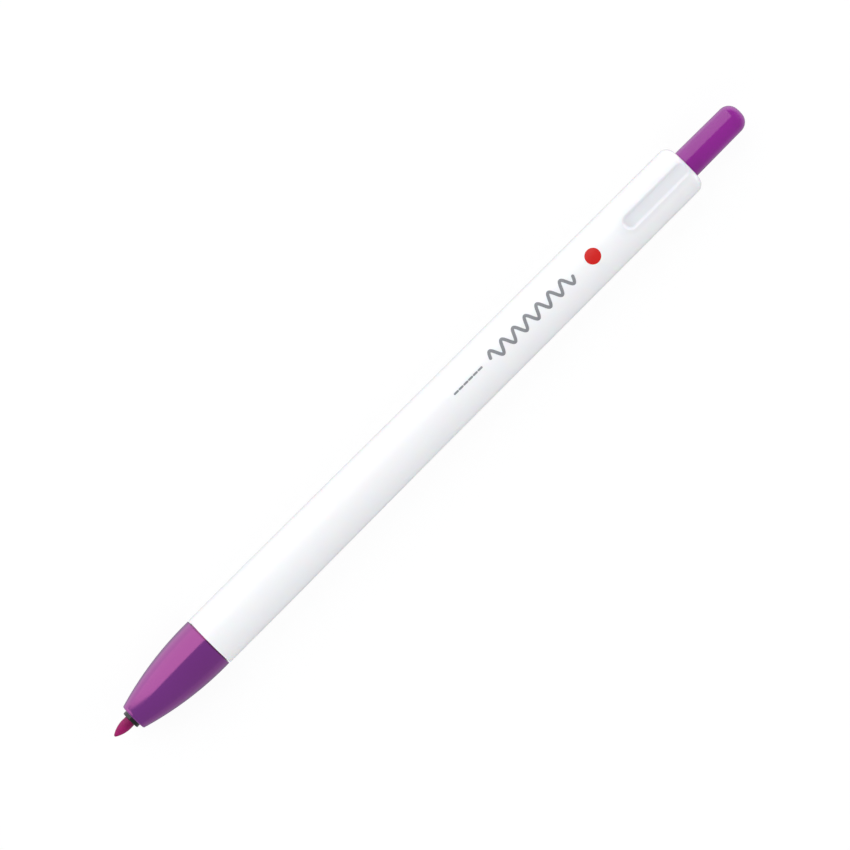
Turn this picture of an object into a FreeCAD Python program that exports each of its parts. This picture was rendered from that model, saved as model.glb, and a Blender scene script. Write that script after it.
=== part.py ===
"""A click-action fibre-tip marking pen: a white barrel, a coloured nose cone, an ink refill that slides
in the barrel, and the rotary click cam that locks it forward.

The pen lies along X with its nib at -X. The origin is on the surface it lies on, under the middle of
its length. Every piece is modelled on its own Z axis, at its station: the distance from the nib's
point, in millimetres, with the nib out. The part is then laid down by its Placement.
"""

import FreeCAD, Part
import math
import os
import re
import Sketcher

# ---------------------------------------------------------------- driving dimensions, millimetres

SIZES = {
    # the whole pen
    "pen_length": 147.3,
    "click_travel": 5.5,
    "press_travel": 1.5,
    "seat_gap": 0.02,
    "slide_gap": 0.09,
    "stop_gap": 0.1,
    # barrel
    "joint_station": 22.4,
    "barrel_end": 134.7,
    "barrel_front_radius": 4.93,
    "barrel_mid_radius": 4.72,
    "barrel_rear_radius": 4.62,
    "grip_band": 12.0,
    "mid_station": 72.0,
    "rear_round": 1.7,
    "joint_bevel": 0.11,
    "bore_front_radius": 3.75,
    "bore_rear_radius": 3.55,
    "guide_seat_radius": 3.4,
    "guide_seat_station": 107.0,
    "tail_bore_radius": 3.15,
    # recess pressed into the rear of the barrel
    "recess_start": 120.15,
    "recess_width": 2.15,
    "recess_floor": 4.15,
    "recess_edge_round": 0.25,
    # nose cone
    "cone_front": 4.43,
    "cone_mouth_radius": 2.53,
    "cone_rear_radius": 4.88,
    "cone_curve_radius": 58.4,
    "cone_lip_round": 0.3,
    "mouth_bore_length": 5.8,
    "spring_room_radius": 2.6,
    "spigot_radius": 3.9,
    "spigot_length": 8.0,
    "spigot_bore_radius": 3.4,
    "snap_bead_station": 27.3,
    "snap_bead_width": 0.7,
    "snap_bead_height": 0.13,
    # nib
    "nib_radius": 1.0,
    "nib_taper": 3.2,
    "nib_flank_radius": 5.2,
    "nib_point_radius": 0.24,
    "nib_point_depth": 0.15,
    "nib_point_round": 0.27,
    "nib_length": 36.0,
    # nib holder
    "holder_front": 3.7,
    "holder_radius": 1.63,
    "holder_bevel": 0.13,
    "collar_front": 21.9,
    "collar_radius": 3.1,
    "tube_front": 23.5,
    "holder_plug_length": 6.0,
    "vent_width": 0.5,
    "vent_depth": 0.3,
    # ink refill
    "tube_radius": 3.2,
    "tube_bore_radius": 2.7,
    "tube_end": 103.5,
    "core_radius": 2.58,
    "core_front": 30.5,
    "core_end": 98.5,
    "wrap_thickness": 0.07,
    "wrap_overhang": 0.5,
    "tail_plug_front": 99.5,
    "tail_flange": 0.9,
    "tail_boss_radius": 2.0,
    "tail_boss_end": 106.0,
    "pilot_bore_radius": 1.35,
    "air_hole_radius": 0.5,
    # return spring
    "wire_radius": 0.2,
    "coil_radius": 2.15,
    "coil_turns": 9.0,
    # click cam
    "cam_body_radius": 2.1,
    "cam_bore_radius": 1.05,
    "cam_rib_radius": 2.85,
    "cam_rib_width": 0.9,
    "rib_root": 0.3,
    "pilot_radius": 1.25,
    "pilot_front": 103.2,
    "rotor_shoulder": 106.1,
    "rotor_crown": 111.3,
    "rotor_stem_radius": 0.95,
    "rotor_stem_end": 115.5,
    "rotor_rib_front": 108.6,
    "rotor_rib_end": 111.4,
    "cam_slope": 0.5,
    "crown_depth": 0.8,
    "crown_width": 1.5,
    "crown_inner_radius": 1.0,
    "push_crown": 111.45,
    "push_rib_front": 112.4,
    "push_rib_end": 118.4,
    "push_bore_end": 117.0,
    "push_neck": 125.7,
    "push_collar_radius": 3.0,
    "button_front": 126.9,
    "push_stem_radius": 1.7,
    "push_stem_end": 137.0,
    "guide_front": 110.3,
    "land_front": 111.55,
    "guide_end": 124.0,
    "guide_bore_radius": 2.95,
    "land_radius": 2.25,
    "groove_width": 1.2,
    "ramp_half_width": 1.6,
    # knock button
    "button_radius": 2.7,
    "button_tip_radius": 2.54,
    "button_round": 2.1,
    "button_bore_end": 141.0,
}

VENTS = 3
RIBS = 4
CROWN_TEETH = 8
LAND_TURN = 45.0

# The least volume, in cubic millimetres, that a feature has to add or take away.
LEAST_CHANGE = 1e-4
# A corner nearer to an axis than this, in millimetres, is held on the axis.
ON_AXIS = 1e-9

# Turns a piece's own X to +Y, its own Y to +Z and its own Z to +X.
LAY_DOWN = FreeCAD.Rotation(FreeCAD.Vector(1, 1, 1), 120)

doc = FreeCAD.newDocument("marking_pen")


def make_sheet():
    """The spreadsheet of driving dimensions, one alias per row."""
    sheet = doc.addObject("Spreadsheet::Sheet", "sizes")
    for row, (alias, value) in enumerate(SIZES.items(), start=1):
        sheet.set(f"A{row}", alias)
        sheet.set(f"B{row}", str(value))
        sheet.setAlias(f"B{row}", alias)
    doc.recompute()
    return sheet


sheet = make_sheet()


def linked(text):
    """The expression text with each dimension's name pointing at the spreadsheet."""
    return re.sub(r"[a-z]\w*", lambda found: "sizes." + found.group(0), text)


def value_of(text):
    """The present value of an expression of driving dimensions."""
    return float(doc.sizes.evalExpression(linked(text)))


def bind(feature, prop, text):
    """Ties a feature's property to an expression of driving dimensions."""
    feature.setExpression(prop, linked(text))


# ---------------------------------------------------------------- sketch and feature helpers


def new_body(name):
    """A PartDesign body laid along X: its own Z runs to +X and its own Y runs up."""
    body = doc.addObject("PartDesign::Body", name)
    body.Label = name
    body.Placement = FreeCAD.Placement(FreeCAD.Vector(0, 0, 0), LAY_DOWN)
    bind(body, "Placement.Base.x", "-pen_length / 2")
    bind(body, "Placement.Base.z", "barrel_front_radius")
    return body


def new_sketch(body, name, plane, height=None, turn=0.0):
    """A sketch on an origin plane, lifted along its normal, then turned about the body's axis."""
    sketch = body.newObject("Sketcher::SketchObject", name)
    support = [f for f in body.Origin.OriginFeatures if f.Role == plane][0]
    sketch.AttachmentSupport = [(support, "")]
    sketch.MapMode = "FlatFace"
    across = plane == "XY_Plane"
    axis = FreeCAD.Vector(0, 0, 1) if across else FreeCAD.Vector(0, 1, 0)
    spin = FreeCAD.Rotation(axis, turn)
    sketch.AttachmentOffset = FreeCAD.Placement(FreeCAD.Vector(0, 0, 0), spin)
    if height and turn and not across:
        bind(sketch, "AttachmentOffset.Base.x", f"({height}) * {math.sin(math.radians(turn))}")
        bind(sketch, "AttachmentOffset.Base.z", f"({height}) * {math.cos(math.radians(turn))}")
    elif height:
        bind(sketch, "AttachmentOffset.Base.z", height)
    return sketch


def arc_between(start, end, radius, outward):
    """An arc from start to end, and whether the sketch holds it the other way round."""
    chord = end - start
    side = FreeCAD.Vector(-chord.y, chord.x, 0).normalize() * (1 if outward else -1)
    rise = math.sqrt(max(radius**2 - (chord.Length / 2) ** 2, 0))
    centre = (start + end) * 0.5 + side * rise
    first = math.atan2(start.y - centre.y, start.x - centre.x)
    last = math.atan2(end.y - centre.y, end.x - centre.x)
    backwards = (last - first) % (2 * math.pi) > math.pi
    if backwards:
        first, last = last, first
    circle = Part.Circle(centre, FreeCAD.Vector(0, 0, 1), radius)
    return Part.ArcOfCircle(circle, first, last), backwards


def place_corner(sketch, edge, point, axis, text):
    """Puts one coordinate of a corner at an expression, measured from the sketch's origin."""
    value = value_of(text)
    kind = "DistanceX" if axis == "x" else "DistanceY"
    origin_to_corner = (-1, 1, edge, point) if value >= 0 else (edge, point, -1, 1)
    found = sketch.addConstraint(Sketcher.Constraint(kind, *origin_to_corner, abs(value)))
    sign = "" if value >= 0 else "-"
    bind(sketch, f"Constraints[{found}]", f"{sign}({text})")


def draw_outline(sketch, corners):
    """A closed outline. A corner is (x, y), or (x, y, radius, outward) where an arc leaves it."""
    points = [FreeCAD.Vector(value_of(c[0]), value_of(c[1]), 0) for c in corners]
    starts, ends = [], []
    for number, corner in enumerate(corners):
        here, there = points[number], points[(number + 1) % len(points)]
        if len(corner) == 2:
            edge = sketch.addGeometry(Part.LineSegment(here, there), False)
            backwards = False
        else:
            arc, backwards = arc_between(here, there, value_of(corner[2]), corner[3])
            edge = sketch.addGeometry(arc, False)
        starts.append((edge, 2 if backwards else 1))
        ends.append((edge, 1 if backwards else 2))
    for number, corner in enumerate(corners):
        sketch.addConstraint(Sketcher.Constraint("Coincident", *ends[number - 1], *starts[number]))
    for number, corner in enumerate(corners):
        for axis, text in (("x", corner[0]), ("y", corner[1])):
            if abs(value_of(text)) > ON_AXIS:
                place_corner(sketch, *starts[number], axis, text)
            else:
                on_axis = -2 if axis == "x" else -1
                sketch.addConstraint(Sketcher.Constraint("PointOnObject", *starts[number], on_axis))
        if len(corner) > 2:
            edge = starts[number][0]
            found = sketch.addConstraint(Sketcher.Constraint("Radius", edge, value_of(corner[2])))
            bind(sketch, f"Constraints[{found}]", corner[2])


def turned(name, corners):
    """A body turned about its axis. Corners are (radius, station)."""
    body = new_body(name)
    sketch = new_sketch(body, name + "_profile", "XZ_Plane")
    draw_outline(sketch, corners)
    turn = body.newObject("PartDesign::Revolution", name + "_turned")
    turn.Profile = sketch
    turn.ReferenceAxis = (sketch, ["V_Axis"])
    turn.Angle = 360
    doc.recompute()
    return body


def extruded(body, name, kind, plane, corners, length, reversed_way, height=None, turn=0.0):
    """A pad or pocket of a closed outline. It has to change the body's volume."""
    before = body.Shape.Volume
    sketch = new_sketch(body, name + "_outline", plane, height, turn)
    draw_outline(sketch, corners)
    feature = body.newObject("PartDesign::" + kind, name)
    feature.Profile = sketch
    bind(feature, "Length", length)
    feature.Reversed = reversed_way
    doc.recompute()
    if abs(body.Shape.Volume - before) < LEAST_CHANGE:
        raise RuntimeError(f"{name} changed nothing")
    return feature


def repeated(body, feature, count):
    """The feature repeated evenly round the body's axis."""
    before = body.Shape.Volume
    pattern = body.newObject("PartDesign::PolarPattern", feature.Label + "_round")
    pattern.Originals = [feature]
    axis = [f for f in body.Origin.OriginFeatures if f.Role == "Z_Axis"][0]
    pattern.Axis = (axis, [""])
    pattern.Angle = 360
    pattern.Occurrences = count
    body.Tip = pattern
    doc.recompute()
    if abs(body.Shape.Volume - before) < LEAST_CHANGE:
        raise RuntimeError(f"{feature.Label} was not repeated")
    return pattern


# ---------------------------------------------------------------- casing


def make_barrel():
    """The one-piece white barrel, with a round shoulder and the button's hole at its rear."""
    rear_stop = "button_front + click_travel + stop_gap"
    spigot_room = "joint_station + spigot_length + 2 * stop_gap"
    outline = [
        ("spigot_radius + seat_gap", "joint_station"),
        ("barrel_front_radius - joint_bevel", "joint_station"),
        ("barrel_front_radius", "joint_station + joint_bevel"),
        ("barrel_front_radius", "joint_station + grip_band"),
        ("barrel_mid_radius", "mid_station"),
        ("barrel_rear_radius", "barrel_end - rear_round", "rear_round", True),
        ("barrel_rear_radius - rear_round", "barrel_end"),
        ("button_radius + slide_gap", "barrel_end"),
        ("button_radius + slide_gap", rear_stop),
        ("tail_bore_radius", rear_stop),
        ("tail_bore_radius", "guide_end + stop_gap"),
        ("guide_seat_radius", "guide_end + stop_gap"),
        ("guide_seat_radius", "guide_seat_station"),
        ("bore_rear_radius", "guide_seat_station"),
        ("bore_front_radius", spigot_room),
        ("spigot_radius + seat_gap", spigot_room),
        ("spigot_radius + seat_gap", "snap_bead_station + snap_bead_width"),
        ("spigot_radius + snap_bead_height + 2 * seat_gap", "snap_bead_station + snap_bead_width / 2"),
        ("spigot_radius + snap_bead_height + 2 * seat_gap", "snap_bead_station - snap_bead_width / 2"),
        ("spigot_radius + seat_gap", "snap_bead_station - snap_bead_width"),
    ]
    body = turned("barrel", outline)
    cut_recess(body)
    return body


def cut_recess(body):
    """The round-ended recess along the top of the barrel, open at the rear shoulder."""
    side = "recess_width / 2"
    outline = [
        (side, "barrel_end + rear_round"),
        (side, f"recess_start + {side}", side, False),
        ("0", "recess_start", side, False),
        (f"-{side}", f"recess_start + {side}"),
        (f"-{side}", "barrel_end + rear_round"),
    ]
    pocket = extruded(
        body, "recess", "Pocket", "XZ_Plane", outline, "barrel_front_radius", False, "-recess_floor"
    )
    round_recess_edges(body, pocket)


def round_recess_edges(body, pocket):
    """Rounds the recess's upper edges, where its walls meet the outside of the barrel."""
    wall_top = value_of("recess_floor + recess_edge_round")
    reach = value_of("recess_width / 2 + seat_gap")
    front = value_of("recess_start - seat_gap")
    names = []
    for number, edge in enumerate(pocket.Shape.Edges, start=1):
        box = edge.BoundBox
        if box.YMin > wall_top and max(-box.XMin, box.XMax) < reach and box.ZMin > front:
            names.append(f"Edge{number}")
    rounding = body.newObject("PartDesign::Fillet", "recess_edges")
    rounding.Base = (pocket, names)
    bind(rounding, "Radius", "recess_edge_round")
    doc.recompute()
    if abs(rounding.Shape.Volume - pocket.Shape.Volume) < LEAST_CHANGE:
        raise RuntimeError("the recess's edges were not rounded")


def make_front_cone():
    """The coloured nose cone, snapped into the barrel by a bead on its spigot."""
    step = "collar_front - press_travel - stop_gap"
    seat = "cone_front + mouth_bore_length"
    spigot_end = "joint_station + spigot_length"
    outline = [
        ("holder_radius + slide_gap", "cone_front"),
        ("cone_mouth_radius - cone_lip_round", "cone_front", "cone_lip_round", True),
        ("cone_mouth_radius", "cone_front + cone_lip_round", "cone_curve_radius", True),
        ("cone_rear_radius", "joint_station - joint_bevel"),
        ("cone_rear_radius - joint_bevel", "joint_station"),
        ("spigot_radius", "joint_station"),
        ("spigot_radius", "snap_bead_station - snap_bead_width"),
        ("spigot_radius + snap_bead_height", "snap_bead_station - snap_bead_width / 2"),
        ("spigot_radius + snap_bead_height", "snap_bead_station + snap_bead_width / 2"),
        ("spigot_radius", "snap_bead_station + snap_bead_width"),
        ("spigot_radius", spigot_end),
        ("spigot_bore_radius", spigot_end),
        ("spigot_bore_radius", step),
        ("spring_room_radius", step),
        ("spring_room_radius", seat),
        ("holder_radius + slide_gap", seat),
    ]
    return turned("front_cone", outline)


# ---------------------------------------------------------------- ink refill


def make_nib():
    """The fibre nib: one bonded rod, ground to a bullet point, whose tail sits in the ink core."""
    outline = [
        ("0", "0", "nib_point_round", True),
        ("nib_point_radius", "nib_point_depth", "nib_flank_radius", True),
        ("nib_radius", "nib_taper"),
        ("nib_radius", "nib_length"),
        ("0", "nib_length"),
    ]
    return turned("nib", outline)


def make_nib_holder():
    """The black holder: a straight nose round the nib, the spring's collar and the tube's plug."""
    plug_end = "tube_front + holder_plug_length"
    outline = [
        ("nib_radius + seat_gap", "holder_front"),
        ("holder_radius - holder_bevel", "holder_front"),
        ("holder_radius", "holder_front + holder_bevel"),
        ("holder_radius", "collar_front"),
        ("collar_radius", "collar_front"),
        ("collar_radius", "tube_front"),
        ("tube_bore_radius - seat_gap", "tube_front"),
        ("tube_bore_radius - seat_gap", plug_end),
        ("nib_radius + seat_gap", plug_end),
    ]
    body = turned("nib_holder", outline)
    vent = [
        ("-vent_width / 2", "tube_bore_radius - vent_depth"),
        ("vent_width / 2", "tube_bore_radius - vent_depth"),
        ("vent_width / 2", "tube_bore_radius + vent_depth"),
        ("-vent_width / 2", "tube_bore_radius + vent_depth"),
    ]
    channel = extruded(
        body, "vent", "Pocket", "XY_Plane", vent, "holder_plug_length - vent_depth", True,
        "tube_front + vent_depth",
    )
    repeated(body, channel, VENTS)
    return body


def make_reservoir_tube():
    """The clear plastic tube of the refill."""
    return turned("reservoir_tube", [
        ("tube_bore_radius", "tube_front"),
        ("tube_radius", "tube_front"),
        ("tube_radius", "tube_end"),
        ("tube_bore_radius", "tube_end"),
    ])


def make_ink_core():
    """The bundle of fibres that holds the ink, with the socket that the nib's tail presses in."""
    return turned("ink_core", [
        ("nib_radius + seat_gap", "core_front"),
        ("core_radius", "core_front"),
        ("core_radius", "core_end"),
        ("0", "core_end"),
        ("0", "nib_length + seat_gap"),
        ("nib_radius + seat_gap", "nib_length + seat_gap"),
    ])


def make_core_wrap():
    """The thin film wrapped round the fibre bundle."""
    return turned("core_wrap", [
        ("core_radius + seat_gap", "core_front - wrap_overhang"),
        ("core_radius + seat_gap + wrap_thickness", "core_front - wrap_overhang"),
        ("core_radius + seat_gap + wrap_thickness", "core_end + wrap_overhang"),
        ("core_radius + seat_gap", "core_end + wrap_overhang"),
    ])


def make_tail_plug():
    """The refill's rear plug, with an air hole and the seat that the cam pushes on."""
    return turned("tail_plug", [
        ("air_hole_radius", "tail_plug_front"),
        ("tube_bore_radius - seat_gap", "tail_plug_front"),
        ("tube_bore_radius - seat_gap", "tube_end"),
        ("collar_radius - seat_gap", "tube_end"),
        ("collar_radius - seat_gap", "tube_end + tail_flange"),
        ("tail_boss_radius", "tube_end + tail_flange"),
        ("tail_boss_radius", "tail_boss_end"),
        ("pilot_bore_radius", "tail_boss_end"),
        ("pilot_bore_radius", "pilot_front - 2 * stop_gap"),
        ("air_hole_radius", "pilot_front - 2 * stop_gap"),
    ])


def make_return_spring():
    """The compression spring between the cone's seat and the holder's collar."""
    body = new_body("return_spring")
    front = "cone_front + mouth_bore_length + wire_radius + seat_gap"
    sketch = new_sketch(body, "wire_section", "XZ_Plane")
    centre = FreeCAD.Vector(value_of("coil_radius"), value_of(front), 0)
    circle = Part.Circle(centre, FreeCAD.Vector(0, 0, 1), value_of("wire_radius"))
    edge = sketch.addGeometry(circle, False)
    place_corner(sketch, edge, 3, "x", "coil_radius")
    place_corner(sketch, edge, 3, "y", front)
    found = sketch.addConstraint(Sketcher.Constraint("Radius", edge, value_of("wire_radius")))
    bind(sketch, f"Constraints[{found}]", "wire_radius")
    doc.recompute()
    coil = body.newObject("PartDesign::AdditiveHelix", "coil")
    coil.Profile = sketch
    coil.ReferenceAxis = (sketch, ["V_Axis"])
    coil.Mode = "height-turns-angle"
    room = "collar_front - cone_front - mouth_bore_length - 2 * wire_radius - 2 * seat_gap"
    bind(coil, "Height", room)
    bind(coil, "Turns", "coil_turns")
    coil.Angle = 0
    coil.Growth = 0
    doc.recompute()
    return body


# ---------------------------------------------------------------- click mechanism


def add_ribs(body, name, front, end, slope):
    """Four ribs along the cam. Their rear ends slope round the axis when slope isn't "0"."""
    side = "cam_rib_width / 2"
    outline = [
        (f"-{side}", front),
        (side, front),
        (side, end),
        (f"-{side}", f"{end} - cam_rib_width * {slope}"),
    ]
    rib = extruded(
        body, name, "Pad", "YZ_Plane", outline, "cam_rib_radius - cam_body_radius + rib_root",
        False, "cam_body_radius - rib_root",
    )
    repeated(body, rib, RIBS)


def cut_crown(body, name, tip_station, way):
    """V-shaped teeth round an end face. way is 1 where the teeth point to the rear, else -1."""
    root = f"{tip_station} - crown_depth" if way > 0 else f"{tip_station} + crown_depth"
    past = f"{tip_station} + seat_gap" if way > 0 else f"{tip_station} - seat_gap"
    tooth = [("0", root), ("crown_width / 2", past), ("-crown_width / 2", past)]
    notch = extruded(body, name, "Pocket", "YZ_Plane", tooth, "cam_rib_radius", True, "crown_inner_radius")
    repeated(body, notch, CROWN_TEETH)


def make_cam_rotor():
    """The turning cam, whose four ribs lock on the guide's lands or drop between them."""
    body = turned("cam_rotor", [
        ("0", "pilot_front"),
        ("pilot_radius", "pilot_front"),
        ("pilot_radius", "rotor_shoulder"),
        ("cam_body_radius", "rotor_shoulder"),
        ("cam_body_radius", "rotor_crown"),
        ("cam_bore_radius + stop_gap", "rotor_crown"),
        ("cam_bore_radius + stop_gap", "rotor_crown - crown_depth"),
        ("rotor_stem_radius", "rotor_crown - crown_depth"),
        ("rotor_stem_radius", "rotor_stem_end"),
        ("0", "rotor_stem_end"),
    ])
    cut_crown(body, "rotor_teeth", "rotor_crown", 1)
    add_ribs(body, "rotor_rib", "rotor_rib_front", "rotor_rib_end", "cam_slope")
    return body


def make_push_cam():
    """The cam that the button drives: ribs that keep it straight, a crown, a collar and a stem."""
    body = turned("push_cam", [
        ("cam_bore_radius", "push_crown"),
        ("cam_body_radius", "push_crown"),
        ("cam_body_radius", "push_neck"),
        ("push_collar_radius", "push_neck"),
        ("push_collar_radius", "button_front"),
        ("push_stem_radius", "button_front"),
        ("push_stem_radius", "push_stem_end"),
        ("0", "push_stem_end"),
        ("0", "push_bore_end"),
        ("cam_bore_radius", "push_bore_end"),
    ])
    cut_crown(body, "push_teeth", "push_crown", -1)
    add_ribs(body, "push_rib", "push_rib_front", "push_rib_end", "0")
    return body


def make_cam_guide():
    """The fixed sleeve pressed into the barrel, with four lands and the grooves between them."""
    body = turned("cam_guide", [
        ("guide_bore_radius", "guide_front"),
        ("guide_seat_radius - seat_gap", "guide_front"),
        ("guide_seat_radius - seat_gap", "guide_end"),
        ("land_radius", "guide_end"),
        ("land_radius", "land_front"),
        ("guide_bore_radius", "land_front"),
    ])
    groove = [
        ("0", "-groove_width / 2"),
        ("guide_bore_radius", "-groove_width / 2"),
        ("guide_bore_radius", "groove_width / 2"),
        ("0", "groove_width / 2"),
    ]
    cut = extruded(
        body, "groove", "Pocket", "XY_Plane", groove, "guide_end - land_front + stop_gap", True,
        "land_front",
    )
    repeated(body, cut, RIBS)
    ramp = [
        ("-ramp_half_width", "land_front - seat_gap"),
        ("ramp_half_width", "land_front - seat_gap"),
        ("ramp_half_width", "land_front + 2 * cam_slope * ramp_half_width"),
    ]
    slope = extruded(
        body, "ramp", "Pocket", "YZ_Plane", ramp, "guide_bore_radius - ramp_half_width", True,
        "ramp_half_width", LAND_TURN,
    )
    repeated(body, slope, RIBS)
    return body


def make_knock_button():
    """The coloured button pressed on the push cam's stem."""
    return turned("knock_button", [
        ("push_stem_radius + seat_gap", "button_front"),
        ("button_radius", "button_front"),
        ("button_tip_radius", "pen_length - button_round", "button_round", True),
        ("button_tip_radius - button_round", "pen_length"),
        ("0", "pen_length"),
        ("0", "button_bore_end"),
        ("push_stem_radius + seat_gap", "button_bore_end"),
    ])


# ---------------------------------------------------------------- build, check and write


def check_document():
    """Stops at any failed object or bad solid, so that nothing broken is written."""
    doc.recompute()
    for thing in doc.Objects:
        if "Invalid" in thing.State or "Error" in thing.State:
            raise RuntimeError(f"{thing.Label} failed: {thing.State}")


def write_parts(bodies):
    """One STEP file per body, named after its label."""
    os.makedirs("parts", exist_ok=True)
    for body in bodies:
        shape = body.Shape
        if shape.isNull() or not shape.isValid() or len(shape.Solids) < 1:
            raise RuntimeError(f"{body.Label} is not a valid solid")
        shape.exportStep(os.path.join("parts", body.Label + ".step"))
        print(f"{body.Label}: {shape.Volume:.2f} mm3, {len(shape.Solids)} solid(s)")


def main():
    bodies = [
        make_barrel(),
        make_front_cone(),
        make_nib(),
        make_nib_holder(),
        make_reservoir_tube(),
        make_ink_core(),
        make_core_wrap(),
        make_tail_plug(),
        make_return_spring(),
        make_cam_rotor(),
        make_push_cam(),
        make_cam_guide(),
        make_knock_button(),
    ]
    check_document()
    write_parts(bodies)


main()
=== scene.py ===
"""The looks of a click-action fibre-tip marking pen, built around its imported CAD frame.

The pen lies along X with its nib at -X and its button at +X, and the recess and the print face +Z.
The frame is in metres. Sizes and stations are in millimetres, and a station is a distance along the pen
from the nib's point.
"""

import math

import bmesh
import bpy
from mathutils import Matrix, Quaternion, Vector


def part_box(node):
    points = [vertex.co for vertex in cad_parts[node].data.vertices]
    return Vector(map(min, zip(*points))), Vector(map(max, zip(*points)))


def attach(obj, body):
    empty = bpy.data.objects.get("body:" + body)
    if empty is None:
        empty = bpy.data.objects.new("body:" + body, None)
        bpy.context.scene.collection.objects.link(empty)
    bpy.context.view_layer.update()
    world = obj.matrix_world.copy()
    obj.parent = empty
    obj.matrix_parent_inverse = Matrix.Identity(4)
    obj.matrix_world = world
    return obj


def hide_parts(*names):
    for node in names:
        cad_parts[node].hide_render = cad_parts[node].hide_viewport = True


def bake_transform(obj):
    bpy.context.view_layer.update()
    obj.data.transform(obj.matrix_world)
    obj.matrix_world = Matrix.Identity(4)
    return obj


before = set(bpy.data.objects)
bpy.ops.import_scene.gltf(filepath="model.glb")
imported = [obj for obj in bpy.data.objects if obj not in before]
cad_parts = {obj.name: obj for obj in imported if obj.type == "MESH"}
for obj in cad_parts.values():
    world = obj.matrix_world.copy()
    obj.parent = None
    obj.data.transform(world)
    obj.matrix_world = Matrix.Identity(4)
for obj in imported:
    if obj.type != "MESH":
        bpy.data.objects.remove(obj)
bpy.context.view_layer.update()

MM = 0.001
TAU = 2 * math.pi

# ---------------------------------------------------------------- places read from the frame

NIB_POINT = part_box("nib")[0].x
AXIS_HEIGHT = (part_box("front_cone")[0].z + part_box("front_cone")[1].z) / 2
PEN_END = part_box("knock_button")[1].x
BARREL_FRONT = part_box("barrel")[0].x
BARREL_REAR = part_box("barrel")[1].x


def station(x):
    """The station, in millimetres, of a place along X."""
    return (x - NIB_POINT) / MM


JOINT = station(BARREL_FRONT)
REAR_FACE = station(BARREL_REAR)
LENGTH = station(PEN_END)
CONE_FRONT = station(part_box("front_cone")[0].x)
CONE_REAR = station(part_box("front_cone")[1].x)
HOLDER_FRONT = station(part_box("nib_holder")[0].x)
HOLDER_REAR = station(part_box("nib_holder")[1].x)
NIB_REAR = station(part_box("nib")[1].x)
BUTTON_FRONT = station(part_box("knock_button")[0].x)
SPRING_FRONT = station(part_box("return_spring")[0].x)
SPRING_REAR = station(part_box("return_spring")[1].x)

# ---------------------------------------------------------------- sizes, in millimetres

# The barrel. It is straight over the grip band, and tapers from there to BARREL_MID and to the rear.
BARREL_RADIUS = 4.93
BARREL_MID_RADIUS = 4.72
BARREL_REAR_RADIUS = 4.62
GRIP_BAND = 12.0
BARREL_MID = 72.0
REAR_ROUND = 1.7
JOINT_BEVEL = 0.11
BUTTON_HOLE_RADIUS = 2.79
END_WALL = 2.2
HOLE_EDGE = 0.06

# The barrel's bore, which narrows towards the rear, and the room for the cone's spigot in it.
BORE_FRONT_RADIUS = 3.75
BORE_RADIUS = 3.55
BORE_STEP = 107.15
BORE_STEP_RADIUS = 3.4
BORE_REAR_RADIUS = 3.15
SPIGOT_RADIUS = 3.9
SPIGOT_GAP = 0.02
SPIGOT_ROOM = 0.2

# The recess. Its walls slope over twice RECESS_WALL_RUN and its floor is slightly hollow.
RECESS_START = 120.15
RECESS_HALF_WIDTH = 1.2
RECESS_FLOOR = 4.08
RECESS_BOWL = 0.09
RECESS_WALL_RUN = 0.35

# Painted shade in and round the recess: the barrel's white is greyed fully over it, by the edge share at
# most just outside it, and fades out within the reach from the pen's middle line.
RECESS_SHADE_REACH = 3.1
RECESS_SHADE_EDGE = 0.8

# Rows and columns of the barrel's mesh, which lie closer together round the recess. FINE_REACH is the
# angle, either side of the top, that has the fine columns.
BARREL_ROW = 2.0
RECESS_LEAD = 3.2
RECESS_ROWS_LEAD = 0.1
RECESS_ROW = 0.055
RECESS_ROWS = 50
REAR_ROWS = 8
FINE_REACH = math.radians(22)
FINE_COLUMNS = 110
OTHER_COLUMNS = 150

# The nose cone. It ends in a shadow gap before the barrel.
CONE_LIP_RADIUS = 2.53
CONE_LIP_ROUND = 0.3
CONE_REAR_RADIUS = 4.88
CONE_CURVE_RADIUS = 58.4
CONE_BEVEL = 0.05
JOINT_GAP = 0.24
JOINT_GAP_DEPTH = 0.7
MOUTH_RADIUS = 1.72
MOUTH_ROUND = 0.1
SPRING_ROOM_RADIUS = 2.6
SPRING_SEAT = 5.8
SPIGOT_BORE = 3.4
COLLAR_STEP = 20.3

# The nib.
NIB_RADIUS = 1.0
NIB_TAPER = 3.2
NIB_POINT_RADIUS = 0.24
NIB_POINT_DEPTH = 0.15
NIB_POINT_ROUND = 0.27
NIB_FLANK_RADIUS = 5.2

# The black nose round the nib, its collar and its plug.
HOLDER_RADIUS = 1.63
HOLDER_BEVEL = 0.13
HOLDER_FIT = 0.02
HOLDER_MOUTH_ROUND = 0.05
COLLAR_FRONT = 21.9
COLLAR_REAR = 23.5
COLLAR_RADIUS = 3.1
PLUG_RADIUS = 2.68

# The button.
BUTTON_RADIUS = 2.7
BUTTON_TIP_RADIUS = 2.54
BUTTON_ROUND = 2.1
BUTTON_BORE = 141.0
STEM_RADIUS = 1.72

# The return spring. The pitch of its closed end turns is in wire diameters.
WIRE_RADIUS = 0.2
COIL_RADIUS = 2.15
COIL_TURNS = 9.0
CLOSED_TURNS = 1.25
CLOSED_PITCH = 1.02

# The print. It stands PRINT_HEIGHT proud of the barrel and lies a little to the +Y side of the top.
DOT_STATION = 112.8
DOT_RADIUS = 1.41
PRINT_HEIGHT = 0.012
PRINT_DEPTH = 0.03
PRINT_SHIFT = 0.4
WAVE = {"start": 88.8, "end": 108.1, "height": 2.0, "stroke": 0.56, "waves": 7}
DASHES = {"start": 80.4, "end": 86.7, "length": 0.72, "stroke": 0.34, "count": 6}

# ---------------------------------------------------------------- materials

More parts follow.
